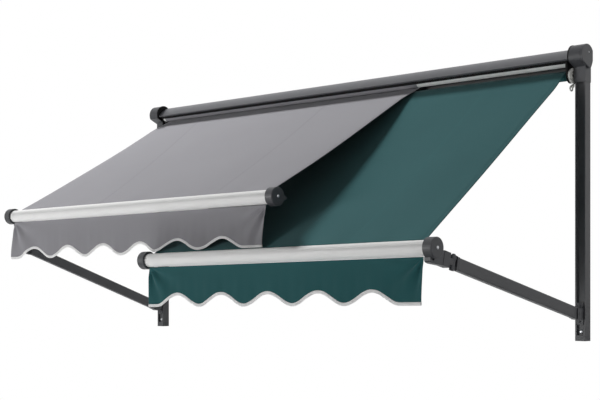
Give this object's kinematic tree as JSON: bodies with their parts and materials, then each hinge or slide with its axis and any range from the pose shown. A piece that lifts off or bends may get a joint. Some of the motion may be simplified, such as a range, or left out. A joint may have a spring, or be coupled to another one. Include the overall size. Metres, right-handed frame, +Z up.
{
  "type": "retractable awning",
  "caption": "Retractable drop-arm awning on its own wall frame, with a grey canopy and a green canopy let out to different heights, scalloped valances and a crank eye.",
  "frame": {"origin": "on the wall face of the hood, halfway along it and level with the drums of its end castings", "axes": "+X to the right along the wall as seen from the street, +Y into the wall, +Z up"},
  "size_m": [2.643, 1.1017, 1.2032],
  "materials": {
    "frame_paint": "fine-textured anthracite powder coat",
    "casting_paint": "satin anthracite paint on castings and caps",
    "black_plastic": "matt black",
    "white_tube": "satin white paint",
    "white_plastic": "smooth off-white",
    "zinc_steel": "zinc-plated, slightly dull",
    "grey_cloth": "woven awning cloth with a fine rib",
    "green_cloth": "woven awning cloth with a fine rib"
  },
  "bodies": {
    "frame": {"hood": "frame_paint", "hood_seal_strip": "black_plastic", "end_casting_left": "casting_paint", "end_casting_right": "casting_paint", "end_cover_left": "casting_paint", "end_cover_right": "casting_paint", "end_cover_screw_left": "zinc_steel", "end_cover_screw_right": "zinc_steel", "hood_collar_left": "black_plastic", "hood_collar_right": "black_plastic", "post_left": "frame_paint", "post_right": "frame_paint", "post_foot_left": "casting_paint", "post_foot_right": "casting_paint", "wall_screw_left": "zinc_steel", "wall_screw_right": "zinc_steel", "pivot_bracket_left": "casting_paint", "pivot_bracket_right": "casting_paint", "bracket_screw_upper_left": "zinc_steel", "bracket_screw_upper_right": "zinc_steel", "bracket_screw_lower_left": "zinc_steel", "bracket_screw_lower_right": "zinc_steel", "pivot_pin_left": "zinc_steel", "pivot_pin_right": "zinc_steel", "bearing_plate_left": "black_plastic", "gear_case": "black_plastic", "worm_box": "white_plastic", "green_canopy": "green_cloth", "grey_canopy": "grey_cloth"},
    "grey_roller": {"grey_roller_tube": "white_tube", "grey_roller_plug_left": "black_plastic", "grey_roller_plug_right": "black_plastic", "grey_roller_gear": "zinc_steel", "grey_canopy_turns": "grey_cloth"},
    "green_roller": {"green_roller_tube": "white_tube", "green_roller_plug_left": "black_plastic", "green_roller_plug_right": "black_plastic", "green_roller_gear": "zinc_steel", "green_canopy_turns": "green_cloth"},
    "crank": {"crank_eye": "white_plastic"},
    "green_arm": {"green_arm_tube": "frame_paint", "green_arm_heel": "casting_paint", "green_arm_fork": "casting_paint", "green_hinge_pin": "casting_paint", "green_outer_cap": "casting_paint"},
    "green_bar": {"green_bar_tube": "white_tube", "green_bar_axle": "zinc_steel", "green_inner_cap": "casting_paint", "green_inner_cap_screw": "zinc_steel", "green_valance": "green_cloth"},
    "grey_arm": {"grey_arm_tube": "frame_paint", "grey_arm_heel": "casting_paint", "grey_arm_fork": "casting_paint", "grey_hinge_pin": "casting_paint", "grey_outer_cap": "casting_paint"},
    "grey_bar": {"grey_bar_tube": "white_tube", "grey_bar_axle": "zinc_steel", "grey_inner_cap": "casting_paint", "grey_inner_cap_screw": "zinc_steel", "grey_valance": "grey_cloth"}
  },
  "joints": [
    {"name": "green_arm_swing", "type": "hinge", "parent": "frame", "child": "green_arm", "pos_m": [1.2865, -0.072, -1.0387], "axis": [-1, 0, 0], "range_deg": [0, 67.5], "deforming": ["green_canopy"]},
    {"name": "grey_arm_swing", "type": "hinge", "parent": "frame", "child": "grey_arm", "pos_m": [-1.2865, -0.072, -1.0387], "axis": [-1, 0, 0], "range_deg": [0, 59.5], "deforming": ["grey_canopy"]},
    {"name": "green_bar_level", "type": "hinge", "parent": "green_arm", "child": "green_bar", "pos_m": [1.29675, -1.06372, -0.79383], "axis": [-1, 0, 0], "range_deg": [-67.6, 0], "deforming": ["green_valance"]},
    {"name": "grey_bar_level", "type": "hinge", "parent": "grey_arm", "child": "grey_bar", "pos_m": [-1.29675, -0.98855, -0.5877], "axis": [-1, 0, 0], "range_deg": [-59.5, 0], "deforming": ["grey_valance"]},
    {"name": "grey_roller_turn", "type": "hinge", "parent": "frame", "child": "grey_roller", "pos_m": [0, -0.046, -0.014], "axis": [1, 0, 0], "range_deg": [0, 2431]},
    {"name": "green_roller_turn", "type": "hinge", "parent": "frame", "child": "green_roller", "pos_m": [0, -0.042, -0.06885], "axis": [-1, 0, 0], "range_deg": [0, 2521]},
    {"name": "crank_turn", "type": "hinge", "parent": "frame", "child": "crank", "pos_m": [1.25085, -0.0194, -0.0922], "axis": [0, -0.7071, -0.7071], "range_deg": [0, 2522]}
  ],
  "couplings": [
    {"joint": "grey_arm_swing", "follows": "green_arm_swing", "ratio": 0.88},
    {"joint": "green_bar_level", "follows": "green_arm_swing", "ratio": -1},
    {"joint": "grey_bar_level", "follows": "green_arm_swing", "ratio": -0.88},
    {"joint": "grey_roller_turn", "follows": "green_arm_swing", "ratio": 36},
    {"joint": "green_roller_turn", "follows": "green_arm_swing", "ratio": 37.333},
    {"joint": "crank_turn", "follows": "green_arm_swing", "ratio": 37.333}
  ]
}
